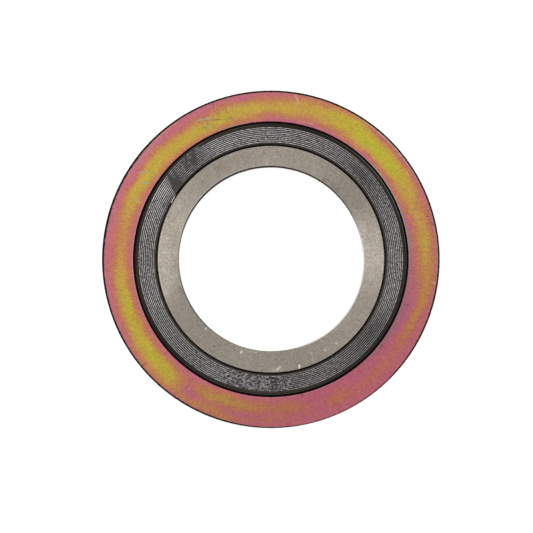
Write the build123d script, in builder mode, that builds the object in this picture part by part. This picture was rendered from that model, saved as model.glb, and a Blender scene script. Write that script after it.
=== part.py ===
"""Spiral wound gasket for a raised-face pipe flange, with a centering ring and an inner ring.

The sealing element is one metal strip, folded to a chevron section and wound edge-on together
with a flexible graphite filler. The first and last plies have no filler between them and are
spot-welded, so each pack of plies is one solid band with the strip. A centering ring snaps over
the chevron's nose on the outside, and an inner ring carries a nose of its own that sits in the
chevron's hollow on the inside.

The gasket lies flat. The origin is the centre of its lower sealing face, and +Z is up.
Lengths are in millimetres and angles in degrees.
"""

import math
import os
from dataclasses import dataclass

from build123d import *

# Inner ring
bore_diameter = 81.3
inner_ring_width = 9.55  # from the bore to its rim
inner_ring_thickness = 3.2
inner_ring_land = 0.5  # flat rim above and below the nose
inner_ring_chamfer = 0.1

# Sealing element
winding_width = 9.55
winding_height = 4.5  # over the filler, before the bolts squeeze it
chevron_depth = 0.8  # how far the fold stands out past the strip's edges
strip_thickness = 0.2
filled_turns = 9  # each is round, but for a step outwards to the next
step_arc = 45  # how much of a turn the step takes, up to the filler's end
inner_plies = 2  # strips without filler, where their pack is thinnest
outer_plies = 7
filler_proud = 0.05  # filler above the strip's edge, on each face
filler_play = 0.01  # between the filler and the strip beside it
filler_end_angle = 122.5  # from +X
tail_root_angle = 141  # where the strip's free start leaves the inner plies, from +X
tail_length = 8.5
tail_lift = 0.4  # how far its tip springs inwards

# Centering ring
centering_ring_width = 13.8
centering_ring_thickness = 3.2
centering_ring_chamfer = 0.15

# Clearances
inner_gap = 0.6  # from the inner ring's rim to the winding's edge
outer_gap = 0.55  # from the winding's edge to the centering ring's bore
groove_play = 0.15  # from the winding's nose to the centering ring's groove
hollow_play = 0.5  # from the inner ring's nose to the winding's hollow, with room for the tail

# Radii from the bore outwards
bore_radius = bore_diameter / 2
inner_ring_rim = bore_radius + inner_ring_width
winding_inner = inner_ring_rim + inner_gap
winding_outer = winding_inner + winding_width
centering_ring_bore = winding_outer + outer_gap

# The winding's own proportions
middle = winding_height / 2
chevron_slope = chevron_depth / middle
filling_start = winding_inner + inner_plies * strip_thickness
filling_end = winding_outer - outer_plies * strip_thickness
turn_pitch = (filling_end - filling_start + strip_thickness) / (filled_turns + 1)
filler_thickness = turn_pitch - strip_thickness
strip_height = winding_height - 2 * filler_proud


@dataclass
class Arc:
    """One arc of a turn, followed clockwise."""

    centre: Vector
    start_angle: float
    sweep: float
    radius: float  # of the filler's inner wall in the first turn


def towards(angle):
    """Level unit vector at an angle from +X."""
    return Vector(1, 0, 0).rotate(Axis.Z, angle)


def chevron_wall(radius, height):
    """Points up one wall of the winding, folded outwards at the middle of its height."""
    edge = radius + chevron_slope * (winding_height - height) / 2
    nose = radius + chevron_depth
    return [(edge, middle - height / 2), (nose, middle), (edge, middle + height / 2)]


def chevron_section(inner, outer, height):
    """Outline between two walls of the winding, or from the axis out to one wall."""
    if inner > 0:
        inside = chevron_wall(inner, height)
    else:
        inside = [(0, middle - height / 2), (0, middle + height / 2)]
    return inside + chevron_wall(outer, height)[::-1]


def wind(arc, turn, inner, outer, height, mode=Mode.ADD):
    """Turn a chevron section along one arc of a turn.

    The two walls are given by their distance outside the filler's inner wall in that turn.
    An inner wall of None fills the arc in to its centre.
    """
    start = towards(arc.start_angle)
    plane = Plane(origin=arc.centre, x_dir=start, z_dir=start.cross(Vector(0, 0, 1)))
    radius = arc.radius + turn * turn_pitch
    near = 0 if inner is None else radius + inner
    with BuildSketch(plane) as section:
        with BuildLine():
            Polyline(*chevron_section(near, radius + outer, height), close=True)
        make_face()
    clockwise = Axis(arc.centre, (0, 0, -1))
    revolve(section.sketch, axis=clockwise, revolution_arc=arc.sweep, mode=mode)


def spin(inner, outer, height, mode=Mode.ADD):
    """Turn a chevron section once round the gasket's own axis."""
    with BuildSketch(Plane.XZ) as section:
        with BuildLine():
            Polyline(*chevron_section(inner, outer, height), close=True)
        make_face()
    revolve(section.sketch, axis=Axis.Z, mode=mode)


def spring_tail():
    """Curl the strip's free start off the inner plies, into the gap by the inner ring.

    Its root is the innermost ply, and its curl is tight enough to lift the tip as far as asked.
    """
    root_radius = winding_inner + strip_thickness
    curl_radius = 1 / (1 / root_radius + 2 * tail_lift / tail_length**2)
    root = towards(tail_root_angle)
    plane = Plane(
        origin=root * (root_radius - curl_radius), x_dir=root, z_dir=root.cross(Vector(0, 0, 1))
    )
    with BuildSketch(plane) as section:
        with BuildLine():
            wall = curl_radius - strip_thickness
            Polyline(*chevron_section(wall, curl_radius, strip_height), close=True)
        make_face()
    anticlockwise = Axis(plane.origin, (0, 0, 1))
    sweep = math.degrees(tail_length / curl_radius)
    revolve(section.sketch, axis=anticlockwise, revolution_arc=sweep)


# One turn: round the gasket's own axis, then outwards by the pitch on a flatter and a tighter arc,
# whose centres are placed so that the three run into one another smoothly
flat_offset = turn_pitch / 2 / (1 - math.cos(math.radians(step_arc / 2)))
tight_offset = 2 * flat_offset * math.cos(math.radians(step_arc / 2))
step_start = filler_end_angle + step_arc
step_middle = filler_end_angle + step_arc / 2
flat_centre = towards(step_start) * -flat_offset
tight_centre = flat_centre + towards(step_middle) * tight_offset
flat_radius = filling_start + flat_offset
round_arc = Arc(Vector(0, 0, 0), filler_end_angle, 360 - step_arc, filling_start)
flat_arc = Arc(flat_centre, step_start, step_arc / 2, flat_radius)
tight_arc = Arc(tight_centre, step_middle, step_arc / 2, flat_radius - tight_offset)
turn_arcs = (round_arc, flat_arc, tight_arc)

os.makedirs("parts", exist_ok=True)

# Metal strip: the outer plies, the inner plies, the turns between them and the free start.
# The step before the first turn opens the inner plies for the filler's start.
with BuildPart() as winding_strip:
    spin(winding_inner, winding_outer, strip_height)
    for arc in turn_arcs:
        wind(arc, filled_turns - 1, None, filler_thickness, strip_height, mode=Mode.SUBTRACT)
    spin(0, filling_start, strip_height)
    wind(flat_arc, -1, None, turn_pitch, strip_height)
    spin(0, winding_inner, strip_height, mode=Mode.SUBTRACT)
    wind(tight_arc, -1, filler_thickness, turn_pitch, strip_height)
    for turn in range(filled_turns - 1):
        for arc in turn_arcs:
            wind(arc, turn, filler_thickness, turn_pitch, strip_height)
    spring_tail()
winding_strip.part.label = "winding_strip"
export_step(winding_strip.part, "parts/winding_strip.step")

# Graphite filler: one ribbon that follows the strip
filler_outside = filler_thickness - filler_play
with BuildPart() as graphite_filler:
    wind(tight_arc, -1, None, filler_outside, winding_height)
    spin(0, filling_start + filler_play, winding_height, mode=Mode.SUBTRACT)
    for turn in range(filled_turns):
        for arc in turn_arcs:
            wind(arc, turn, filler_play, filler_outside, winding_height)
graphite_filler.part.label = "graphite_filler"
export_step(graphite_filler.part, "parts/graphite_filler.step")

# Centering ring, with the groove that holds the winding's nose
nose_radius = winding_outer + chevron_depth
groove_mouth = (nose_radius - centering_ring_bore) / chevron_slope + groove_play
with BuildPart() as centering_ring:
    with BuildSketch(Plane.XZ):
        with Locations((centering_ring_bore, middle)):
            Rectangle(
                centering_ring_width,
                centering_ring_thickness,
                align=(Align.MIN, Align.CENTER),
            )
        with BuildLine():
            Polyline(
                (centering_ring_bore, middle - groove_mouth),
                (nose_radius + groove_play, middle),
                (centering_ring_bore, middle + groove_mouth),
                close=True,
            )
        make_face(mode=Mode.SUBTRACT)
    revolve(axis=Axis.Z)
    levels = centering_ring.edges().filter_by(GeomType.CIRCLE).group_by(Axis.Z)
    chamfer(levels[0] + levels[-1], centering_ring_chamfer)
centering_ring.part.label = "centering_ring"
export_step(centering_ring.part, "parts/centering_ring.step")

# Inner ring, with the nose that sits in the winding's hollow
nose_root = inner_ring_thickness / 2 - inner_ring_land
with BuildPart() as inner_ring:
    with BuildSketch(Plane.XZ):
        with Locations((bore_radius, middle)):
            Rectangle(
                inner_ring_width,
                inner_ring_thickness,
                align=(Align.MIN, Align.CENTER),
            )
        with BuildLine():
            Polyline(
                (inner_ring_rim, middle - nose_root),
                (winding_inner + chevron_depth - hollow_play, middle),
                (inner_ring_rim, middle + nose_root),
                close=True,
            )
        make_face()
    revolve(axis=Axis.Z)
    levels = inner_ring.edges().filter_by(GeomType.CIRCLE).group_by(Axis.Z)
    chamfer(levels[0] + levels[-1], inner_ring_chamfer)
inner_ring.part.label = "inner_ring"
export_step(inner_ring.part, "parts/inner_ring.step")
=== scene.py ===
"""Looks of a spiral wound gasket: a plated centering ring, a chevron winding and an inner ring.

Every piece is a CAD node that keeps its shape. This script gives each one the finish of its real
material, and lights it on a pale floor. Blender's lengths are metres. The finishes work in
millimetres and degrees round the gasket's own axis.
"""

import logging
import math
from collections.abc import Sequence
from dataclasses import dataclass
from enum import Enum

import bmesh
import bpy
from bpy.types import Material, NodeSocket, NodeTree
from mathutils import Matrix, Vector


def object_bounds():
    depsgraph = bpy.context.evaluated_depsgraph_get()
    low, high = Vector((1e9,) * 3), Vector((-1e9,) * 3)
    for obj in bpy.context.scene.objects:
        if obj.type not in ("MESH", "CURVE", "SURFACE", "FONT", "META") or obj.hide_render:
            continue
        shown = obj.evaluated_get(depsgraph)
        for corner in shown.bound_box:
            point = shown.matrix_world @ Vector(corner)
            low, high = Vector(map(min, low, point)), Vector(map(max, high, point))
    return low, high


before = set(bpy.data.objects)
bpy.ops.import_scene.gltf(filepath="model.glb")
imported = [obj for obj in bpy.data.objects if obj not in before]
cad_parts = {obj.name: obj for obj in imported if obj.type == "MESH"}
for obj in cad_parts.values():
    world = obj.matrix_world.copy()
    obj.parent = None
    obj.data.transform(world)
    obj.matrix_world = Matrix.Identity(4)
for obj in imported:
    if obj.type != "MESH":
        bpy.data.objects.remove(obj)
cad_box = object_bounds()

LOG = logging.getLogger("gasket")
MM = 0.001  # in metres
SETTLED = (0.3, -0.05, 0.0)  # how far the winding and the inner ring seem to lie off the axis
NOISE_RANGE = (0.25, 0.75)  # what a noise texture seldom leaves
RAY_RADIUS = 60.0  # where a fine line that runs outwards has its given width
STROKE_CORE = 0.3  # share of a stroke's width within which it has its full strength
SPECK_CORE = 0.5  # the same for a speck's radius

Colour = tuple[float, float, float, float]
Stops = Sequence[tuple[float, str]]


class Grain(Enum):
    """Which way a pattern is drawn out, as its stretches along X, Y and Z."""

    CLOUDY = (1.0, 1.0, 1.0)
    LEVEL = (40.0, 40.0, 1.0)


@dataclass(frozen=True)
class Patch:
    """A soft-edged area in polar coordinates.

    It is full strength in its middle and fades to nothing at its half angle and half width.
    """

    angle: float
    radius: float
    half_angle: float
    half_width: float
    strength: float = 1.0


@dataclass(frozen=True)
class Coat:
    """A colour or tone laid over others: it covers the given share of them."""

    share: NodeSocket | float
    colour: NodeSocket | Colour
    mode: str = "MIX"


@dataclass(frozen=True)
class Stroke:
    """A straight mark between two points, each given as (angle, radius)."""

    start: tuple[float, float]
    end: tuple[float, float]
    width: float
    strength: float = 1.0


def linear(code: str) -> Colour:
    """Turns an sRGB hex colour into the linear colour that a shader takes.

    Args:
        code: Six hex digits, red first.

    Returns:
        Linear red, green and blue, and an alpha of 1.
    """
    values = [int(code[i : i + 2], 16) / 255 for i in (0, 2, 4)]
    red, green, blue = (
        v / 12.92 if v <= 0.04045 else ((v + 0.055) / 1.055) ** 2.4 for v in values
    )
    return red, green, blue, 1.0


def add_node(
    tree: NodeTree,
    kind: str,
    *values: object,
    out: int | str = 0,
    named: dict | None = None,
    stops: Stops = (),
    **settings: object,
) -> NodeSocket | None:
    """Adds a shader node with its settings and links.

    Args:
        tree: The tree to add it to.
        kind: The node's type, without the words ShaderNode in front.
        values: Values of its first sockets, or the output sockets that feed them.
        out: Which output to return.
        named: The same for other sockets, by name or number.
        stops: Places and hex colours of a colour ramp.
        settings: Properties of the node itself.

    Returns:
        The output asked for, or None if the node has no outputs.
    """
    node = tree.nodes.new("ShaderNode" + kind)
    for name, setting in settings.items():
        setattr(node, name, setting)
    for socket, value in (dict(enumerate(values)) | (named or {})).items():
        if isinstance(value, NodeSocket):
            tree.links.new(value, node.inputs[socket])
        else:
            node.inputs[socket].default_value = value
    for number, (place, code) in enumerate(stops):
        elements = node.color_ramp.elements
        element = elements[number] if number < len(elements) else elements.new(place)
        element.position = place
        element.color = linear(code)
    return node.outputs[out] if node.outputs else None


class Surface:
    """A material in the making, with the coordinates and patterns that finishes share."""

    def __init__(self, name: str) -> None:
        """Starts an empty material and works out where each of its points lies.

        Args:
            name: The material's name.
        """
        self.material = bpy.data.materials.new(name)
        self.material.use_nodes = True
        self.tree = self.material.node_tree
        self.tree.nodes.clear()
        place = add_node(self.tree, "TexCoord", out="Object")
        self.point = self.add("VectorMath", place, named={"Scale": 1 / MM}, operation="SCALE")
        x = self.add("SeparateXYZ", self.point, out="X")
        y = self.add("SeparateXYZ", self.point, out="Y")
        self.height = self.add("SeparateXYZ", self.point, out="Z")
        self.flat = self.add("CombineXYZ", x, y)
        self.radius = self.add("VectorMath", self.flat, operation="LENGTH", out="Value")
        self.angle = self.add(
            "Math", self.add("Math", y, x, operation="ARCTAN2"), operation="DEGREES"
        )

    def add(self, kind: str, *values: object, **settings: object) -> NodeSocket:
        """Adds a node to this material, as add_node does."""
        return add_node(self.tree, kind, *values, **settings)

    def mottle(
        self,
        size: float,
        low: float,
        high: float,
        grain: Grain = Grain.CLOUDY,
        detail: float = 3.0,
        seed: float = 0.0,
    ) -> NodeSocket:
        """Adds uneven spots.

        Args:
            size: Width of a spot in millimetres.
            low: Value in the darkest spots.
            high: Value in the lightest spots.
            grain: Which way the spots are drawn out.
            detail: How many finer layers lie on them.
            seed: Moves the pattern, so that two of one size differ.

        Returns:
            A value from low to high.
        """
        scale = tuple(1 / (size * stretch) for stretch in grain.value)
        place = self.add("Mapping", self.point, named={"Scale": scale, "Location": (seed,) * 3})
        spots = self.add("TexNoise", named={"Vector": place, "Scale": 1.0, "Detail": detail})
        return self.add("MapRange", spots, *NOISE_RANGE, low, high)

    def grit(self, size: float, low: float, high: float, seed: float = 0.0) -> NodeSocket:
        """Adds grains that each have a value of their own.

        Args:
            size: Width of a grain in millimetres.
            low: Value of the darkest grains.
            high: Value of the lightest grains.
            seed: Moves the pattern.

        Returns:
            A value from low to high.
        """
        place = self.add("Mapping", self.point, named={"Location": (seed,) * 3})
        cells = self.add("TexVoronoi", named={"Vector": place, "Scale": 1 / size}, out="Color")
        value = self.add("SeparateColor", cells, out="Red")
        return self.add("MapRange", value, 0.0, 1.0, low, high)

    def rays(self, width: float, length: float, low: float, high: float) -> NodeSocket:
        """Adds fine lines that run outwards from the axis.

        Args:
            width: Width of a line in millimetres, at RAY_RADIUS from the axis.
            length: Its length in millimetres.
            low: Value in the darkest lines.
            high: Value in the lightest lines.

        Returns:
            A value from low to high.
        """
        way = self.add("VectorMath", self.flat, operation="NORMALIZE")
        scale = {"Scale": RAY_RADIUS / width}
        round_axis = self.add("VectorMath", way, named=scale, operation="SCALE")
        out = self.add("Math", self.radius, 1 / length, operation="MULTIPLY")
        place = self.add(
            "VectorMath", round_axis, self.add("CombineXYZ", 0.0, 0.0, out), operation="ADD"
        )
        lines = self.add("TexNoise", named={"Vector": place, "Scale": 1.0, "Detail": 2.0})
        return self.add("MapRange", lines, *NOISE_RANGE, low, high)

    def specks(self, spacing: float, size: float, share: float, seed: float = 0.0) -> NodeSocket:
        """Scatters small round specks.

        Args:
            spacing: Mean distance between the places where a speck may be, in millimetres.
            size: A speck's radius in millimetres.
            share: Share of those places that have one.
            seed: Moves the pattern.

        Returns:
            1 in a speck and 0 around it.
        """
        place = self.add("Mapping", self.point, named={"Location": (seed,) * 3})
        named = {"Vector": place, "Scale": 1 / spacing}
        distance = self.add("TexVoronoi", named=named, out="Distance")
        chance = self.add(
            "SeparateColor", self.add("TexVoronoi", named=named, out="Color"), out="Red"
        )
        rim = size / spacing
        inside = self.add("MapRange", distance, SPECK_CORE * rim, rim, 1.0, 0.0)
        chosen = self.add("Math", chance, share, operation="LESS_THAN")
        return self.add("Math", inside, chosen, operation="MULTIPLY")

    def patches(self, areas: Sequence[Patch], wander: NodeSocket | float = 0.0) -> NodeSocket:
        """Adds up soft areas.

        Args:
            areas: The areas.
            wander: How far a point is shifted outwards before it is looked up, in millimetres.

        Returns:
            The sum of their strengths at each point.
        """
        total = 0.0
        out = self.add("Math", self.radius, wander, operation="ADD")
        for area in areas:
            turn = self.add("Math", self.angle, area.angle + 180, area.angle - 180, operation="WRAP")
            offset = self.add(
                "VectorMath",
                self.add("CombineXYZ", turn, out),
                (area.angle, area.radius, 0),
                operation="SUBTRACT",
            )
            size = (area.half_angle, area.half_width, 1)
            offset = self.add("VectorMath", offset, size, operation="DIVIDE")
            distance = self.add("VectorMath", offset, operation="LENGTH", out="Value")
            share = self.add(
                "MapRange", distance, 0.0, 1.0, area.strength, 0.0,
                interpolation_type="SMOOTHSTEP", clamp=False,
            )
            total = self.add("Math", share, total, operation="ADD")
        return total

    def level(
        self, areas: Sequence[Patch], wander: NodeSocket | float = 0.0, usual: float = 1.0
    ) -> NodeSocket:
        """Makes a level that soft areas add to or take from.

        Args:
            areas: The areas.
            wander: How far a point is shifted outwards before it is looked up, in millimetres.
            usual: The level away from the areas.

        Returns:
            The level at each point.
        """
        return self.add("Math", self.patches(areas, wander), usual, operation="ADD")

    def cover(self, area: Patch) -> NodeSocket:
        """Makes the share that one soft area covers, which is never more than 1."""
        return self.add("Math", self.patches([area]), 1.0, operation="MINIMUM")

    def past(self, value: NodeSocket, edge: float, blur: float) -> NodeSocket:
        """Finds what lies past an edge.

        Args:
            value: A radius, an angle or another measure of where a point lies.
            edge: Where the edge lies, in the same measure.
            blur: How far the two sides blend, on each side of the edge.

        Returns:
            0 before the edge and 1 past it.
        """
        return self.add("MapRange", value, edge - blur, edge + blur)

    def before(self, value: NodeSocket, edge: float, blur: float) -> NodeSocket:
        """Finds what lies before an edge, as past finds what lies beyond it."""
        return self.add("MapRange", value, edge - blur, edge + blur, 1.0, 0.0)

    def radius_from(self, centre: tuple[float, float, float]) -> NodeSocket:
        """Measures how far a point lies from an axis beside the gasket's own."""
        offset = self.add("VectorMath", self.flat, centre, operation="SUBTRACT")
        return self.add("VectorMath", offset, operation="LENGTH", out="Value")

    def strokes(self, marks: Sequence[Stroke], rough: float) -> NodeSocket:
        """Lays straight marks over each other.

        Args:
            marks: The marks.
            rough: How far their edges stray, in millimetres.

        Returns:
            1 along the middle of a mark of full strength, and 0 away from the marks.
        """
        total = 0.0
        stray = self.mottle(0.5, -rough, rough, seed=4.0)
        for mark in marks:
            start, end = (
                Vector((math.cos(math.radians(turn)), math.sin(math.radians(turn)), 0)) * out
                for turn, out in (mark.start, mark.end)
            )
            along = end - start
            offset = self.add("VectorMath", self.flat, start, operation="SUBTRACT")
            unit = along / along.length_squared
            share = self.add("VectorMath", offset, unit, operation="DOT_PRODUCT", out="Value")
            share = self.add("Math", share, 0.0, operation="MAXIMUM")
            share = self.add("Math", share, 1.0, operation="MINIMUM")
            nearest = self.add("VectorMath", along, named={"Scale": share}, operation="SCALE")
            distance = self.add("VectorMath", offset, nearest, operation="DISTANCE", out="Value")
            distance = self.add("Math", distance, stray, operation="ADD")
            depth = self.add(
                "MapRange", distance, STROKE_CORE * mark.width, mark.width, mark.strength, 0.0,
                interpolation_type="SMOOTHSTEP", clamp=False,
            )
            total = self.add("Math", depth, total, operation="MAXIMUM")
        return total

    def paint(self, base: NodeSocket | Colour, coats: Sequence[Coat]) -> NodeSocket:
        """Lays coats over a base colour, one after another.

        Args:
            base: The colour underneath.
            coats: The coats, from the lowest up.

        Returns:
            The colour seen from above.
        """
        for coat in coats:
            named = {0: coat.share, 6: base, 7: coat.colour}
            base = self.add("Mix", named=named, out=2, data_type="RGBA", blend_type=coat.mode)
        return base

    def finish(
        self,
        colour: NodeSocket | Colour,
        roughness: NodeSocket | float,
        metallic: float,
        relief: NodeSocket | None = None,
        depth: float = 0.0,
        gloss: float = 0.5,
    ) -> Material:
        """Joins the shader to the output.

        Args:
            colour: The surface's own colour.
            roughness: From 0, polished, to 1, chalky.
            metallic: Share of bare metal.
            relief: Height of the surface, from 0 to 1, if it isn't smooth.
            depth: What a relief of 1 stands for, in millimetres.
            gloss: How strongly what isn't metal reflects; 0.5 is a solid surface.

        Returns:
            The finished material.
        """
        named = {"Base Color": colour, "Roughness": roughness, "Metallic": metallic}
        named["Specular IOR Level"] = gloss
        if relief is not None:
            named["Normal"] = self.add("Bump", named={"Height": relief, "Distance": depth * MM})
        shader = self.add("BsdfPrincipled", named=named)
        self.add("OutputMaterial", shader)
        return self.material


@dataclass(frozen=True)
class YellowZinc:
    """Zinc plate with a yellow chromate film, on cold rolled steel.

    The film is thin enough to show interference colours, which run from rose through gold to
    lime as it thickens. It is thick along the middle of the ring and thin at its edges. Where
    it is scratched through, the grey zinc shows, and the sheared rim is nearly black.
    """

    thinnest: float = -4.0
    colours: Stops = (
        (-12, "b9687c"),
        (-6, "ba6c78"),
        (0, "ba6e6c"),
        (10, "ba765f"),
        (20, "ba7f54"),
        (30, "bb8c50"),
        (40, "bc984c"),
        (50, "b9a040"),
        (62, "b3ab3c"),
    )
    film: Sequence[Patch] = (
        Patch(2, 68.2, 22, 7.0, 36),
        Patch(45, 67.5, 50, 7.7, 70),
        Patch(66, 71.5, 20, 4.5, 32),
        Patch(88, 67.6, 26, 6.5, 38),
        Patch(96, 63.4, 14, 3.4, -12),
        Patch(106, 69.5, 14, 5.0, 22),
        Patch(125, 65.2, 52, 6.6, 54),
        Patch(145, 68.6, 22, 5.0, 14),
        Patch(158, 66.4, 28, 6.0, 26),
        Patch(182, 66.4, 18, 6.0, 26),
        Patch(203, 66.8, 30, 6.2, 58),
        Patch(222, 72.0, 26, 4.0, 8),
        Patch(228, 68.0, 24, 7.0, 54),
        Patch(248, 71.6, 16, 4.5, 26),
        Patch(251, 65.6, 22, 5.0, 34),
        Patch(268, 67.4, 22, 8.0, 15),
        Patch(278, 66.5, 14, 4.0, 12),
        Patch(296, 68.0, 9, 4.5, 20),
        Patch(314, 68.5, 18, 4.0, 16),
        Patch(335, 68.3, 14, 4.0, 28),
        Patch(346, 70.0, 13, 3.8, 30),
        Patch(145, 73.5, 60, 4.0, -5),
        Patch(300, 68.0, 60, 20, -3),
        Patch(300, 62.0, 60, 6, -3),
        Patch(40, 73.4, 24, 3.0, -14),
        Patch(165, 67.0, 20, 5.0, 8),
        Patch(243, 69.5, 14, 3.5, -10),
        Patch(109.6, 65.3, 3.6, 0.9, 34),
        Patch(107.2, 66.6, 3.0, 0.7, 26),
        Patch(258, 68.8, 14, 3.5, -10),
        Patch(100, 72.2, 8, 2.5, -13),
        Patch(150, 70.0, 8, 2.5, -15),
        Patch(70, 71.5, 7, 2.0, -11),
        Patch(350, 69.8, 6, 1.8, -10),
        Patch(98, 62.6, 8, 1.6, 12),
        Patch(196, 65.4, 8, 2.2, 14),
        Patch(215, 61.9, 10, 1.2, 11),
        Patch(64, 66.5, 8, 2.5, 9),
        Patch(340, 64.8, 14, 2.8, -13),
        Patch(340, 71.0, 12, 3.0, -5),
        Patch(268, 69.0, 12, 2.5, -7),
        Patch(17.5, 66.4, 4.0, 1.8, 9),
        Patch(4.0, 68.4, 9.0, 1.6, 9),
        Patch(140, 69.0, 9, 2.4, 8),
        Patch(102, 64.4, 7, 1.8, 9),
        Patch(240, 69.4, 7, 2.6, -9),
        Patch(270, 67.2, 7, 1.8, -9),
        Patch(50, 61.9, 12, 1.4, -8),
        Patch(350, 64.4, 6, 1.6, -9),
        Patch(200, 65.8, 6, 1.4, 8),
        Patch(200, 62.8, 8, 1.6, -8),
    )
    wiped: Patch = Patch(237, 67.2, 9, 5.6, 35)
    wiped_from: float = 230.3  # the wiped area is cut off sharply before this angle
    edge_loss: float = 9.0  # over the last edge_width
    edge_width: float = 1.3
    brightness: float = 1.04  # away from the shaded areas
    # painted shade and painted light: the ring darker or lighter round its turn, as the light falls on it
    shaded: Sequence[Patch] = (
        Patch(285, 67.8, 75, 30, -0.16),
        Patch(345, 67.8, 45, 30, -0.08),
        Patch(250, 67.8, 34, 30, -0.05),
        Patch(60, 67.8, 75, 30, 0.04),
        Patch(150, 67.8, 60, 30, 0.06),
        Patch(142, 73.4, 26, 3.4, 0.1),
        Patch(252, 61.4, 30, 3.6, 0.09),
    )
    deeper: Patch = Patch(305, 67.8, 62, 30, 0.65)  # where the colour is rosier
    # The first two colours are hazes in the film. The other four are painted highlights: thin light lines
    # just inside the dark rim and along the bore's edge.
    hazes_and_edge_highlights: Sequence[tuple[str, Sequence[Patch]]] = (
        ("9c6c79", (
            Patch(338, 61.6, 36, 4.2, 0.75),
            Patch(8, 61.4, 20, 2.6, 0.5),
            Patch(322, 61.0, 24, 2.6, 0.5),
        )),
        ("8d8878", (Patch(8, 62.2, 9, 1.2, 0.6), Patch(140, 72.6, 14, 1.6, 0.3))),
        ("b3ab98", (Patch(44, 73.7, 26, 0.36, 1.2), Patch(4, 73.8, 22, 0.3, 0.8))),
        ("9ba089", (Patch(24, 61.1, 44, 0.45, 1.3), Patch(106, 61.1, 9, 0.35, 1.2))),
        ("d08c93", (Patch(178, 61.1, 60, 0.45, 1.1), Patch(285, 61.1, 40, 0.4, 0.8))),
        ("c88a45", (Patch(130, 73.4, 9, 0.4, 0.9),)),
    )
    spattered: Patch = Patch(14.6, 72.5, 6.0, 1.9, 1.6)
    ragged: Sequence[Patch] = (
        Patch(165, 74.7, 60, 12, 0.34),
        Patch(146, 74.7, 16, 12, 0.36),
        Patch(171, 74.7, 8, 12, 0.3),
    )
    sharp: Patch = Patch(290, 74.7, 50, 12, 0.42)  # where the sheared edge is narrower
    bore_black_reach: float = 0.02  # how far the near-black of the bore wall, painted shade of the gap beside the winding, reaches over its chamfer
    bare: Sequence[Stroke] = (
        Stroke((142.4, 71.6), (142.8, 70.9), 0.25, 0.6),
        Stroke((146.2, 69.3), (144.8, 66.7), 0.5, 1.0),
        Stroke((149.2, 66.3), (148.4, 64.4), 0.55, 1.0),
        Stroke((156.6, 66.2), (155.8, 63.4), 0.28, 0.8),
        Stroke((155.9, 64.8), (156.1, 63.6), 0.36, 0.7),
        Stroke((117.8, 69.4), (114.0, 68.2), 0.45, 0.9),
        Stroke((114.2, 68.3), (113.8, 67.3), 0.3, 0.7),
        Stroke((111.8, 68.5), (110.9, 68.3), 0.35, 0.7),
        Stroke((104.8, 69.2), (102.8, 69.2), 0.22, 0.5),
        Stroke((108.6, 69.0), (107.6, 69.2), 0.22, 0.5),
        Stroke((106.2, 69.4), (105.4, 69.4), 0.22, 0.5),
        Stroke((101.8, 69.3), (100.8, 69.2), 0.22, 0.6),
        Stroke((116.0, 65.9), (115.0, 65.0), 0.45, 0.7),
        Stroke((117.1, 64.9), (117.5, 63.8), 0.28, 0.6),
        Stroke((99.8, 62.4), (99.2, 61.6), 0.34, 0.6),
        Stroke((114.4, 62.9), (113.2, 62.4), 0.26, 0.5),
        Stroke((144.3, 61.9), (143.8, 61.4), 0.4, 0.6),
    )
    dulled: Sequence[Stroke] = (
        Stroke((106.8, 69.2), (104.6, 62.8), 0.22, 0.75),
        Stroke((107.4, 66.4), (105.6, 64.4), 0.2, 0.6),
        Stroke((116.4, 68.2), (110.8, 66.3), 0.2, 0.7),
        Stroke((110.8, 66.3), (109.2, 65.4), 0.2, 0.5),
        Stroke((113.4, 66.9), (105.5, 64.6), 0.14, 0.7),
        Stroke((115.4, 66.4), (113.2, 64.2), 0.2, 0.5),
        Stroke((103.4, 68.9), (101.2, 69.5), 0.22, 0.5),
        Stroke((116.6, 64.3), (114.4, 67.1), 0.26, 0.7),
        Stroke((117.4, 65.2), (115.2, 65.5), 0.24, 0.6),
    )
    pale: Sequence[Stroke] = (
        Stroke((81.2, 73.4), (80.0, 70.2), 0.8, 0.5),
        Stroke((72.8, 62.9), (74.2, 62.4), 0.5, 0.45),
        Stroke((76.0, 62.3), (79.0, 62.6), 0.3, 0.35),
        Stroke((31.3, 71.3), (33.0, 71.5), 0.3, 0.4),
        Stroke((351.6, 73.6), (351.8, 72.2), 0.25, 0.8),
    )
    thinned: Sequence[Stroke] = (
        Stroke((22.4, 70.6), (12.2, 62.8), 0.38, 20),
        Stroke((29.0, 69.5), (26.4, 66.6), 0.3, 20),
        Stroke((27.6, 67.0), (25.6, 62.6), 0.3, 16),
        Stroke((4.0, 71.8), (1.0, 69.0), 0.5, 14),
    )
    smudges: Sequence[Stroke] = (
        Stroke((219.5, 73.8), (219.9, 71.8), 0.3, 0.85),
        Stroke((11.6, 73.9), (12.4, 73.1), 0.4, 0.6),
        Stroke((110.4, 73.4), (110.6, 71.6), 0.24, 0.6),
        Stroke((341.6, 64.4), (340.8, 62.4), 0.5, 0.3),
        Stroke((321.0, 62.9), (322.4, 62.3), 0.6, 0.4),
        Stroke((282.6, 60.9), (283.4, 61.9), 0.5, 0.6),
        Stroke((318.0, 63.6), (319.4, 62.6), 0.5, 0.25),
    )

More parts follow.
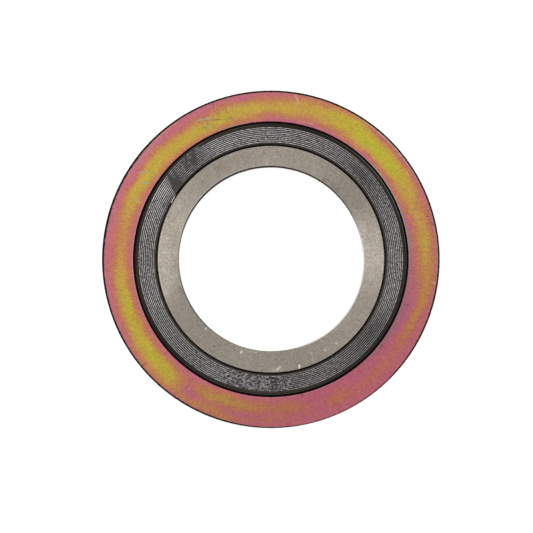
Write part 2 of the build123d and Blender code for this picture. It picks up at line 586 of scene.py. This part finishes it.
    def make(self, ring: "CenteringRing") -> Material:
        """Builds the material.

        Args:
            ring: The ring that it covers.

        Returns:
            The material.
        """
        s = Surface("yellow_zinc")
        low, high = self.colours[0][0], self.colours[-1][0]
        share = s.add("MapRange", self.thickness(s, ring), low, high)
        stops = [((at - low) / (high - low), code) for at, code in self.colours]
        bare = s.strokes(self.bare, 0.14)
        # the rim's sheared edge, which is nearly black, and the bore wall, painted near-black as shade of
        # the gap
        black = s.add("Math", self.rim(s, ring), self.bore(s, ring), operation="MAXIMUM")
        patchy = s.mottle(0.7, 0.3, 1.7, seed=12.0)
        spots = s.specks(0.6, 0.24, 0.8)
        spatter = s.add("Math", spots, s.patches([self.spattered]), operation="MULTIPLY")
        # the rim's nearly black steel, which also stands as painted shade on the bore wall
        steel = s.paint(linear("141c10"), [Coat(s.mottle(1.4, -0.5, 0.8), linear("344031"))])
        # hazes in the film, and painted highlights along the rim and the bore
        hazes_and_edge_highlights = []
        for code, areas in self.hazes_and_edge_highlights:
            tint_share = s.add("Math", s.patches(areas), patchy, operation="MULTIPLY", use_clamp=True)
            hazes_and_edge_highlights.append(Coat(tint_share, linear(code)))
        coats = (
            *hazes_and_edge_highlights,
            # painted shade and painted light round the ring
            Coat(1.0, s.level(self.shaded, usual=self.brightness), "MULTIPLY"),
            Coat(s.patches([self.deeper]), linear("ffedf1"), "MULTIPLY"),
            # Streaks and grain, both drawn coarser than they are, so that they show
            Coat(1.0, s.rays(0.5, 2.5, 0.9, 1.1), "MULTIPLY"),
            Coat(1.0, s.grit(0.45, 0.87, 1.13, seed=3.0), "MULTIPLY"),
            Coat(spatter, linear("2a1c18")),
            Coat(s.strokes(self.dulled, 0.1), linear("7d735c")),
            Coat(bare, linear("a9a592")),
            Coat(s.strokes(self.pale, 0.25), linear("cfae8f")),
            Coat(s.strokes(self.smudges, 0.35), linear("4f3328")),
            Coat(s.specks(1.7, 0.16, 0.25), linear("8a5a4c")),
            Coat(black, steel),
        )
        colour = s.paint(s.add("ValToRGB", share, stops=stops), coats)
        scratches_and_dark_edges = s.add("Math", bare, black, operation="MAXIMUM")
        roughness = s.add("MapRange", scratches_and_dark_edges, 0.0, 1.0, 0.4, 0.55)
        return s.finish(colour, roughness, 1.0, s.rays(0.25, 4.0, 0.0, 1.0), 0.01)

    def thickness(self, s: Surface, ring: "CenteringRing") -> NodeSocket:
        """Works out how thick the film is.

        Args:
            s: The material in the making.
            ring: The ring that it covers.

        Returns:
            The thickness, on the scale of the film's colours.
        """
        wander = s.add("Math", s.mottle(9.0, -1.1, 1.1), s.mottle(2.0, -0.3, 0.3), operation="ADD")
        turn = s.add("Math", s.angle, 360.0, 0.0, operation="WRAP")
        kept = s.past(turn, self.wiped_from, 0.3)
        wiped = s.add("Math", s.patches([self.wiped], wander), kept, operation="MULTIPLY")
        inside = ring.bore + self.edge_width
        losses = (
            wiped,
            s.add("MapRange", s.radius, ring.bore, inside, self.edge_loss, 0.0),
            s.strokes(self.thinned, 0.3),
        )
        grains = (s.rays(0.5, 3.0, -6, 6), s.mottle(1.3, -6, 6, seed=9.0), s.grit(0.45, -4, 4))
        film = s.level(self.film, wander, self.thinnest)
        for loss in losses:
            film = s.add("Math", film, loss, operation="SUBTRACT")
        for grain in grains:
            film = s.add("Math", film, grain, operation="ADD")
        return film

    def rim(self, s: Surface, ring: "CenteringRing") -> NodeSocket:
        """Finds the sheared rim, which is ragged on one side.

        Args:
            s: The material in the making.
            ring: The ring that it covers.

        Returns:
            1 where the steel is black.
        """
        jags = s.mottle(2.8, 0.0, 0.9, seed=7.0)
        extra = s.add("Math", s.patches(self.ragged), jags, operation="MULTIPLY")
        extra = s.add("Math", extra, s.mottle(1.1, -0.1, 0.1), operation="ADD")
        out = s.add("Math", s.radius, extra, operation="ADD")
        out = s.add("Math", out, s.patches([self.sharp]), operation="SUBTRACT")
        return s.past(out, ring.rim - ring.burr, 0.12)

    def bore(self, s: Surface, ring: "CenteringRing") -> NodeSocket:
        """Finds the bore wall, which is painted near-black as shade of the gap beside the winding."""
        return s.before(s.radius, ring.bore + self.bore_black_reach, 0.02)


@dataclass(frozen=True)
class RolledStainless:
    """Stainless plate with a dull rolled finish, turned at its edges, handled and stained.

    It is a warm grey with cloudy stains, a few bruises that shine and specks of dirt.
    """

    # painted highlights and painted shade: lighter round 0° and 180°, where the turned finish catches the
    # light, and darker between, with smaller lighter and darker patches
    tones: Sequence[Patch] = (
        Patch(2, 45.5, 30, 40, 0.56),
        Patch(18, 42.0, 18, 4, 0.2),
        Patch(165, 45.5, 40, 40, 0.36),
        Patch(184, 47.4, 28, 6, 0.32),
        Patch(42, 45.5, 24, 30, -0.22),
        Patch(222, 45.5, 45, 40, -0.16),
        Patch(282, 45.5, 44, 30, -0.17),
        Patch(97, 41.5, 22, 3.5, 0.12),
        Patch(112, 47.0, 16, 3.0, -0.12),
        Patch(31, 46.0, 5, 2.6, -0.12),
        Patch(273, 48.8, 6, 1.6, 0.36),
        Patch(194, 45.5, 13, 10, 0.16),
        Patch(200, 48.4, 10, 2.4, 0.14),
        Patch(150, 48.4, 10, 2.4, 0.16),
        Patch(158, 43.4, 10, 2.4, 0.2),
        Patch(20, 43.4, 9, 2.0, 0.14),
        Patch(50, 43.0, 9, 2.0, -0.14),
        Patch(242, 43.4, 13, 3.0, -0.12),
    )
    stains: Sequence[Patch] = (
        Patch(56, 42.2, 2.6, 1.9, 0.55),
        Patch(120, 47.0, 5.0, 2.6, 0.30),
        Patch(116, 44.0, 4.0, 2.0, 0.22),
        Patch(166.6, 45.8, 0.9, 4.2, 0.30),
        Patch(184, 42.0, 2.0, 2.6, 0.28),
        Patch(131, 45.5, 6.0, 2.6, 0.18),
        Patch(243, 42.3, 2.6, 1.5, 0.22),
    )
    bruises: Sequence[Stroke] = (
        Stroke((252.6, 43.4), (252.4, 42.8), 0.5, 0.95),
        Stroke((227.2, 42.2), (226.8, 41.9), 0.42, 0.7),
        Stroke((284.6, 50.0), (284.9, 48.8), 0.5, 0.9),
        Stroke((285.4, 48.9), (285.2, 48.4), 0.4, 0.8),
        Stroke((300.8, 47.2), (301.0, 46.6), 0.34, 0.55),
        Stroke((308.0, 47.3), (307.6, 46.9), 0.3, 0.6),
        Stroke((292.4, 49.5), (293.8, 44.6), 0.16, 0.5),
        Stroke((273.2, 49.0), (275.2, 47.6), 0.45, 0.5),
        Stroke((176.2, 48.8), (176.6, 44.4), 0.12, 0.5),
        Stroke((92.4, 42.4), (92.8, 42.0), 0.5, 0.35),
        Stroke((87.4, 45.6), (87.5, 45.2), 0.4, 0.45),
        Stroke((257.0, 42.0), (262.0, 41.6), 0.2, 0.4),
    )
    dirt: Sequence[Stroke] = (
        Stroke((196.6, 42.4), (200.6, 41.8), 0.8, 0.34),
        Stroke((201.6, 42.6), (202.0, 40.9), 0.4, 0.4),
        Stroke((198.0, 43.4), (199.4, 43.0), 0.5, 0.25),
        Stroke((93.3, 47.4), (93.5, 46.6), 0.35, 0.4),
        Stroke((131.2, 46.2), (131.8, 45.6), 0.4, 0.3),
        Stroke((182.0, 46.8), (182.6, 45.8), 0.3, 0.4),
        Stroke((236.8, 46.0), (237.2, 45.6), 0.36, 0.5),
        Stroke((220.0, 42.6), (220.3, 42.1), 0.3, 0.45),
        Stroke((290.8, 50.2), (291.2, 49.4), 0.2, 0.9),
    )
    # painted highlights: thin pale lines along the outer edge and near the bore
    painted_edge_highlights: Sequence[Patch] = (Patch(182, 49.6, 36, 0.35, 0.8), Patch(140, 41.6, 80, 0.3, 0.35))
    bevel: Patch = Patch(333, 40.6, 62, 1.3, 2.2)  # rounded, so that it catches the light
    turned_edge: float = 0.04  # how far the bore's turned wall reaches over its chamfer
    middle_band: float = 0.95  # half the height of wall, round its middle, that the painted shade at the bore leaves out
    # painted shade: a dark line along the bore's edges, where they face away from the light
    painted_bore_shade: Sequence[Patch] = (Patch(98, 40.75, 95, 0.7, 4.0), Patch(212, 40.75, 50, 0.6, 1.1))
    # on the nose in the gap: painted light round 352°, painted shade round 108°, and a brown-olive line
    # round 280°
    nose_marks_light_and_shade: Sequence[tuple[str, Patch]] = (
        ("f4f0ea", Patch(352, 50.3, 50, 0.5, 1.6)),
        ("2e2620", Patch(108, 50.6, 46, 1.6, 1.8)),
        ("7a6844", Patch(280, 50.6, 34, 1.6, 1.2)),
    )

    def make(self, ring: "InnerRing") -> Material:
        """Builds the material.

        Args:
            ring: The ring that it covers.

        Returns:
            The material.
        """
        s = Surface("rolled_stainless")
        dirt = s.strokes(self.dirt, 0.3)
        turned = s.mottle(0.25, 0.7, 1.2, Grain.LEVEL)
        # painted shade along the bore's edges
        bore = s.patches(self.painted_bore_shade, s.mottle(1.0, -0.06, 0.06))
        bore = s.add("Math", bore, self.near_faces(s, ring), operation="MULTIPLY", use_clamp=True)
        wall = s.before(s.radius, ring.bore + self.turned_edge, 0.02)
        # painted shade of the gap between the ring and the winding, round the axis that SETTLED sets off
        painted_gap_shade = s.past(s.radius_from(SETTLED), ring.rim, 0.1)
        sunk = s.past(s.radius, ring.rim, 0.02)
        # painted light and painted shade on the nose, and a brown-olive line
        nose_marks_light_and_shade = [Coat(s.cover(area), linear(code)) for code, area in self.nose_marks_light_and_shade]
        coats = (
            # painted highlights and painted shade round the ring, with smaller lighter and darker patches
            Coat(1.0, s.level(self.tones, s.mottle(5.0, -1.0, 1.0)), "MULTIPLY"),
            Coat(1.0, s.mottle(4.5, 0.93, 1.07), "MULTIPLY"),
            Coat(1.0, s.mottle(1.4, 0.93, 1.07, seed=5.0), "MULTIPLY"),
            # The grain of the roll is drawn coarser than it is, so that it shows
            Coat(1.0, s.grit(0.42, 0.76, 1.24, seed=2.0), "MULTIPLY"),
            Coat(s.grit(0.45, -0.5, 0.5, seed=6.0), linear("a8937e")),
            Coat(s.grit(0.55, -0.6, 0.5, seed=16.0), linear("8d938e")),
            Coat(s.patches(self.stains, s.mottle(1.5, -0.6, 0.6)), linear("7d6a52")),
            Coat(dirt, linear("47423e")),
            Coat(s.specks(2.2, 0.2, 0.22, 3.0), linear("6b6157")),
            Coat(s.specks(2.6, 0.16, 0.2, 8.0), linear("c2bcb3")),
            Coat(s.strokes(self.bruises, 0.2), linear("e8e4de")),
            # painted highlights along the edges
            Coat(s.patches(self.painted_edge_highlights), linear("d2cec6")),
            Coat(s.cover(self.bevel), linear("faf8f6")),
            Coat(wall, s.paint(linear("8d857b"), [Coat(1.0, turned, "MULTIPLY")])),
            # painted shade at the bore
            Coat(bore, linear("261c1a")),
            # painted shade of the gap
            Coat(painted_gap_shade, linear("4a3d2e")),
            Coat(sunk, s.paint(linear("857a6c"), nose_marks_light_and_shade)),
        )
        colour = s.paint(linear("9c948a"), coats)
        roughness = s.add("MapRange", dirt, 0.0, 1.0, 0.42, 0.7)
        return s.finish(colour, roughness, 1.0, s.mottle(0.45, 0.0, 1.0), 0.012)

    def near_faces(self, s: Surface, ring: "InnerRing") -> NodeSocket:
        """Finds the faces and the wall next to them, but not the wall's middle."""
        above = s.add("Math", s.height, ring.middle, operation="SUBTRACT")
        return s.past(s.add("Math", above, operation="ABSOLUTE"), self.middle_band, 0.15)


@dataclass(frozen=True)
class GraphiteDust:
    """What lies over the whole winding.

    There are smears and flakes that hide its turns, and darker and paler areas.
    """

    flake_colours: Stops = ((0.15, "1b191a"), (0.5, "575354"), (0.85, "b5b1b1"))
    clogged: float = 51.55  # radius within which the dust lies thick and dark
    smears: Sequence[Stroke] = (
        Stroke((125.6, 58.8), (128.6, 54.9), 1.2, 0.85),
        Stroke((127.2, 56.2), (128.4, 54.4), 1.7, 0.75),
        Stroke((129.6, 59.4), (130.8, 57.2), 0.8, 0.9),
        Stroke((130.8, 57.2), (133.0, 54.4), 0.9, 0.85),
        Stroke((137.1, 59.4), (139.0, 54.4), 0.5, 0.9),
        Stroke((138.9, 54.2), (139.6, 51.6), 0.5, 0.6),
        Stroke((140.6, 59.6), (141.6, 55.0), 0.7, 0.9),
        Stroke((141.2, 57.6), (144.6, 51.8), 0.9, 0.9),
        Stroke((140.6, 58.6), (141.4, 53.0), 1.1, 0.9),
        Stroke((141.4, 54.8), (139.8, 52.2), 1.8, 0.92),
        Stroke((141.8, 54.8), (143.4, 52.0), 1.6, 0.92),
        Stroke((141.5, 53.0), (141.6, 51.6), 2.6, 0.92),
        Stroke((155.4, 59.4), (152.6, 56.6), 0.32, 0.9),
        Stroke((153.2, 53.1), (153.8, 52.6), 0.6, 0.8),
        Stroke((160.8, 53.6), (161.4, 53.0), 0.6, 0.7),
        Stroke((107.2, 53.4), (107.6, 52.8), 0.6, 0.6),
        Stroke((68.0, 56.6), (68.4, 55.8), 0.5, 0.7),
        Stroke((77.0, 55.8), (77.6, 55.2), 0.8, 0.5),
    )
    tones: Sequence[Patch] = (
        Patch(46, 55.5, 40, 14, -0.38),
        Patch(43, 54.8, 14, 3.4, -0.24),
        Patch(14, 52.2, 14, 1.6, -0.3),
        Patch(218, 55.5, 30, 14, -0.42),
        Patch(280, 55.5, 44, 14, -0.3),
        Patch(318, 55.5, 28, 14, -0.58),
        Patch(150, 52.6, 12, 3.4, -0.25),
        Patch(149, 51.4, 7, 1.2, -0.4),
        Patch(100, 55.0, 34, 5.0, 0.1),
        Patch(127, 56.0, 17, 14, -0.42),
        Patch(140, 53.6, 7.5, 5.5, -0.55),
        Patch(140, 57.6, 7.0, 4.0, -0.3),
        Patch(180, 53.6, 8.0, 3.0, -0.16),
        Patch(325, 54.0, 12.0, 4.0, -0.12),
        Patch(330, 57.0, 14, 6, -0.15),
        Patch(200, 55.5, 9, 8, 0.18),
        Patch(163, 55.5, 7, 8, 0.16),
        Patch(110, 57.5, 9, 3.5, -0.18),
    )
    paler: Patch = Patch(185, 51.2, 84, 4.0, 0.9)  # where the clogging dust is thinner
    flaked: Sequence[Patch] = (
        Patch(264, 55.5, 32, 14, 1.9),
        Patch(188, 55.5, 16, 9, 0.6),
        Patch(356, 54.0, 18, 7, 0.6),
        Patch(90, 56.0, 14, 6, 0.35),
    )

    def over(self, s: Surface, base: NodeSocket) -> NodeSocket:
        """Lays the dust, the flakes and the smears over a colour.

        Args:
            s: A material in the making.
            base: The colour underneath.

        Returns:
            The dusty colour.
        """
        flakes = s.mottle(0.9, -0.5, 1.4, detail=2.0, seed=14.0)
        flaked = s.add("Math", s.patches(self.flaked), flakes, operation="MULTIPLY", use_clamp=True)
        grey = s.add("ValToRGB", s.mottle(0.8, -0.1, 1.1, seed=15.0), stops=self.flake_colours)
        near = s.before(s.radius_from(SETTLED), self.clogged, 0.2)
        thick = s.paint(linear("37322e"), [Coat(s.patches([self.paler]), linear("6b655f"))])
        coats = (
            Coat(flaked, grey),
            Coat(1.0, s.level(self.tones), "MULTIPLY"),
            Coat(1.0, s.mottle(1.5, 0.74, 1.26, detail=2.0, seed=21.0), "MULTIPLY"),
            Coat(s.strokes(self.smears, 0.3), linear("403c3a")),
            Coat(near, thick),
        )
        return s.paint(base, coats)


@dataclass(frozen=True)
class SlitStainless:
    """Thin stainless strip seen on edge, cut bright and dusted with graphite.

    Between turns of filler its edge shines in broken lines. The plies without filler lie close
    together and are dull and nearly black.
    """

    dust: GraphiteDust = GraphiteDust()
    crisp: Sequence[Patch] = (
        Patch(216, 55.5, 20, 12, 0.8),
        Patch(318, 55.5, 26, 12, 0.6),
        Patch(147, 55.5, 18, 12, 0.8),
        Patch(118, 55.5, 14, 12, 0.5),
        Patch(55, 55.5, 26, 12, 0.4),
    )
    lit: Sequence[Patch] = (
        Patch(40, 59.95, 44, 0.26, 0.8),
        Patch(100, 59.8, 18, 0.3, 0.25),
        Patch(124, 59.7, 10, 0.3, 0.4),
    )
    ply_tones: Sequence[Patch] = (
        Patch(72, 59.0, 46, 9, -0.44),
        Patch(12, 59.0, 24, 9, -0.2),
        Patch(218, 59.0, 34, 9, -0.44),
        Patch(318, 59.0, 36, 9, -0.2),
        Patch(268, 59.0, 16, 9, 0.15),
        Patch(136, 58.6, 9, 9, 0.4),
    )
    black: Sequence[Patch] = (  # where the painted shadow of the gap reaches further over the plies
        Patch(165, 60.35, 44, 20, 0.24),
        Patch(300, 60.35, 40, 20, 0.12),
        Patch(100, 60.35, 24, 20, 0.08),
        Patch(20, 60.35, 44, 20, -0.2),
    )
    slot: Patch = Patch(145.0, 51.12, 5.6, 0.28, 2.0)  # painted shadow in the slot beside the strip's free start
    shadow: str = "0d0806"  # how black a gap looks
    gap_reach: float = 0.375  # how far the outer gap's painted shadow reaches over the plies

    def make(self, winding: "Winding") -> Material:
        """Builds the material.

        Args:
            winding: The winding that it is part of.

        Returns:
            The material.
        """
        s = Surface("slit_stainless")
        inner = s.add("Math", s.radius, winding.filler_from, operation="LESS_THAN")
        outer = s.add("Math", s.radius, winding.outer_plies(s), operation="GREATER_THAN")
        packed = s.add("Math", inner, outer, operation="MAXIMUM")
        ply = s.add("Math", s.radius, 2 * math.pi / winding.ply_spacing, operation="MULTIPLY")
        ply = s.add("MapRange", s.add("Math", ply, operation="COSINE"), -1.0, 1.0, 0.6, 1.25)
        out = s.add("Math", s.radius, s.patches(self.black), operation="ADD")
        gap = s.past(out, winding.rim - self.gap_reach, 0.075)
        crisp = s.patches(self.crisp)
        breaks = s.mottle(0.9, -0.1, 1.1, detail=2.0, seed=6.0)
        dulled = s.add("Math", crisp, -1.0, operation="MULTIPLY_ADD", named={2: 1.0})
        dulled = s.add("Math", dulled, breaks, operation="MULTIPLY")
        plies = (
            Coat(1.0, ply, "MULTIPLY"),
            Coat(1.0, s.level(self.ply_tones), "MULTIPLY"),
            Coat(1.0, s.mottle(2.0, 0.8, 1.2), "MULTIPLY"),
            Coat(s.patches(self.lit), linear("77746f")),
        )
        coats = (
            Coat(packed, s.paint(linear("3a3530"), plies)),
            Coat(gap, linear(self.shadow)),
            Coat(s.cover(self.slot), linear(self.shadow)),
            Coat(s.cover(winding.tail), linear("f4f2ef")),
        )
        edge = s.paint(linear("f8f5f3"), [Coat(dulled, linear("3c3938"))])
        colour = s.paint(self.dust.over(s, edge), coats)
        roughness = s.add("MapRange", packed, 0.0, 1.0, 0.4, 0.6)
        return s.finish(colour, roughness, 0.9, s.mottle(0.3, 0.0, 1.0), 0.01)


@dataclass(frozen=True)
class FlexibleGraphite:
    """Expanded graphite foil, pressed edge-on between the turns of the strip.

    It is soft and dark with a flaky grain, and pale dust and crumbs lie on it. Its cut edge is
    porous, so it reflects less than a solid.
    """

    gloss: float = 0.2
    dust: GraphiteDust = GraphiteDust()
    colours: Stops = ((0.1, "0d0d0e"), (0.55, "1d1b1c"), (0.95, "4c4a4b"))

    def make(self, winding: "Winding") -> Material:
        """Builds the material.

        Args:
            winding: The winding that it is part of.

        Returns:
            The material.
        """
        s = Surface("flexible_graphite")
        flakes = s.mottle(0.45, -0.3, 1.3, detail=4.0)  # coarser than real ones, to show
        coats = (
            Coat(winding.burr(s), linear("bab6b4")),
            Coat(s.specks(0.9, 0.2, 0.3), linear("1d1c1d")),
            Coat(s.specks(1.0, 0.16, 0.3, 5.0), linear("a5a2a3")),
        )
        grain = s.paint(s.add("ValToRGB", flakes, stops=self.colours), coats)
        return s.finish(self.dust.over(s, grain), 0.55, 0.15, flakes, 0.03, self.gloss)


@dataclass(frozen=True)
class OpalPanel:
    """Opal acrylic sheet, lit from below, so that the gasket throws almost no shadow on it."""

    glow: float = 0.5

    def make(self) -> Material:
        """Builds the material."""
        s = Surface("opal_acrylic")
        white = linear("fafafa")
        named = {"Base Color": white, "Roughness": 0.9, "Emission Color": white}
        shader = s.add("BsdfPrincipled", named=named | {"Emission Strength": self.glow})
        s.add("OutputMaterial", shader)
        return s.material


@dataclass
class CenteringRing:
    """Flat ring round the winding, blanked from plate and plated."""

    bore: float
    rim: float
    burr: float = 0.8  # width of the sheared edge

    def dress(self) -> None:
        """Plates the ring."""
        dress("centering_ring", YellowZinc().make(self))


@dataclass
class InnerRing:
    """Flat ring inside the winding."""

    bore: float
    rim: float = 50.2  # the nose stands out from it
    middle: float = (cad_box[0].z + cad_box[1].z) / 2 / MM  # height of its middle

    def dress(self) -> None:
        """Gives the ring its rolled finish."""
        dress("inner_ring", RolledStainless().make(self))


@dataclass
class Winding:
    """Chevron strip and graphite filler, wound clockwise outwards from the inner plies.

    Its turns are round, and each steps out to the next over the same stretch.
    """

    filler_from: float = 51.2  # inner radius of the first turn of filler
    turns: int = 9
    pitch: float = 0.795  # from one turn to the next
    step_arc: float = 45.0  # how much of a turn the step takes
    filler_end: float = 122.5  # angle at which the filler ends
    rim: float = 60.35  # at the faces: the chevron's nose stands out further
    strip: float = 0.2  # how thick it is
    wiped: float = 0.12  # how far the strip's burr reaches over the filler
    ply_spacing: float = 0.95  # drawn coarser than the strip, so that it shows
    tail: Patch = Patch(148.4, 50.5, 4.4, 0.42, 3.4)  # the strip's free start, which shines

    def outer_plies(self, s: Surface) -> NodeSocket:
        """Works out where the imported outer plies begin, past the last bright edge of the strip.

        Args:
            s: A material in the making.

        Returns:
            Their inner radius at each angle.
        """
        end = self.filler_end
        turn = s.add("Math", s.angle, end + 360, end, operation="WRAP")
        radius = self.filler_from + self.turns * self.pitch
        return s.add(
            "MapRange", turn, end, end + self.step_arc, radius + self.pitch, radius,
            interpolation_type="SMOOTHSTEP",
        )

    def burr(self, s: Surface) -> NodeSocket:
        """Finds where the strip's cut edge is wiped over the filler beside it.

        Args:
            s: A material in the making.

        Returns:
            The share of metal, which is most next to the strip.
        """
        turns = s.add("Math", s.radius, self.outer_plies(s), operation="SUBTRACT")
        turns = s.add("Math", turns, 1 / self.pitch, operation="MULTIPLY")
        across = s.add("Math", turns, operation="FRACT")
        middle = (1 - self.strip / self.pitch) / 2
        away = s.add("Math", across, middle, operation="SUBTRACT")
        away = s.add("Math", away, operation="ABSOLUTE")
        share = s.add("MapRange", away, middle - self.wiped / self.pitch, middle)
        return s.add("Math", share, s.mottle(1.1, 0.1, 0.9, seed=8.0), operation="MULTIPLY")

    def dress(self) -> None:
        """Gives the strip and the filler their finishes."""
        dress("winding_strip", SlitStainless().make(self))
        dress("graphite_filler", FlexibleGraphite().make(self))


def span(node: str) -> tuple[float, float]:
    """Measures how near the gasket's axis and how far from it a CAD node comes.

    Args:
        node: The node's name.

    Returns:
        The smallest and the largest radius of its vertices, in millimetres.
    """
    radii = [vertex.co.xy.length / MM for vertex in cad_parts[node].data.vertices]
    return round(min(radii), 3), round(max(radii), 3)


def dress(node: str, material: Material) -> None:
    """Gives a CAD node its finish.

    Args:
        node: The node's name.
        material: Its new material.
    """
    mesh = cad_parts[node].data
    mesh.materials.clear()
    mesh.materials.append(material)
    LOG.info("%s is finished in %s", node, material.name)


@dataclass
class Studio:
    """Floor, lights and camera, in metres and degrees."""

    floor_size: float = 6.0
    room: float = 0.95  # brightness of the pale room
    window: tuple[float, float, float] = (-0.9, 0.9, 1.1)
    window_size: float = 1.2
    window_power: float = 4.0  # in watts
    picture_width: float = 0.2356
    camera_distance: float = 2.0
    camera_lean: float = 2.0  # off the vertical
    camera_side: float = -55.0  # direction of that lean, from +X
    aim: tuple[float, float] = (-0.00184, -0.00327)  # the place at the gasket's top that the camera looks at

    def floor(self) -> None:
        """Lays the floor that the gasket rests on."""
        mesh = bpy.data.meshes.new("floor")
        shape = bmesh.new()
        bmesh.ops.create_grid(shape, x_segments=1, y_segments=1, size=self.floor_size / 2)
        bmesh.ops.translate(shape, verts=shape.verts, vec=(0, 0, cad_box[0].z))
        shape.to_mesh(mesh)
        shape.free()
        mesh.materials.append(OpalPanel().make())
        floor = bpy.data.objects.new("floor", mesh)
        bpy.context.scene.collection.objects.link(floor)

    def lights(self) -> None:
        """Sets a pale room with a wide soft window on one side, which faces the gasket."""
        world = bpy.data.worlds.new("room")
        world.use_nodes = True
        world.node_tree.nodes.clear()
        glow = add_node(world.node_tree, "Background", linear("ffffff"), self.room)
        add_node(world.node_tree, "OutputWorld", glow)
        bpy.context.scene.world = world
        data = bpy.data.lights.new("window", "AREA")
        data.size = self.window_size
        data.energy = self.window_power
        lamp = bpy.data.objects.new("window", data)
        lamp.location = self.window
        lamp.rotation_euler = (-Vector(self.window)).to_track_quat("-Z", "Y").to_euler()
        bpy.context.scene.collection.objects.link(lamp)

    def camera(self) -> None:
        """Looks down at the gasket, very slightly from one side."""
        data = bpy.data.cameras.new("camera")
        data.lens = data.sensor_width * self.camera_distance / self.picture_width
        side, lean = math.radians(self.camera_side), math.radians(self.camera_lean)
        back = Vector(
            (math.sin(lean) * math.cos(side), math.sin(lean) * math.sin(side), math.cos(lean))
        )
        right = Vector((0, 1, 0)).cross(back).normalized()
        camera = bpy.data.objects.new("camera", data)
        camera.location = Vector((*self.aim, cad_box[1].z)) + back * self.camera_distance
        camera.rotation_euler = Matrix((right, back.cross(right), back)).transposed().to_euler()
        bpy.context.scene.collection.objects.link(camera)
        bpy.context.scene.camera = camera


def main() -> None:
    """Dresses the gasket from the outside inwards, and sets the studio round it."""
    logging.basicConfig(level=logging.INFO, format="%(message)s")
    inner_bore, _ = span("inner_ring")
    for piece in (CenteringRing(*span("centering_ring")), Winding(), InnerRing(inner_bore)):
        piece.dress()
    studio = Studio()
    studio.floor()
    studio.lights()
    studio.camera()
    bpy.context.scene.view_settings.view_transform = "Standard"


if __name__ == "__main__":
    main()
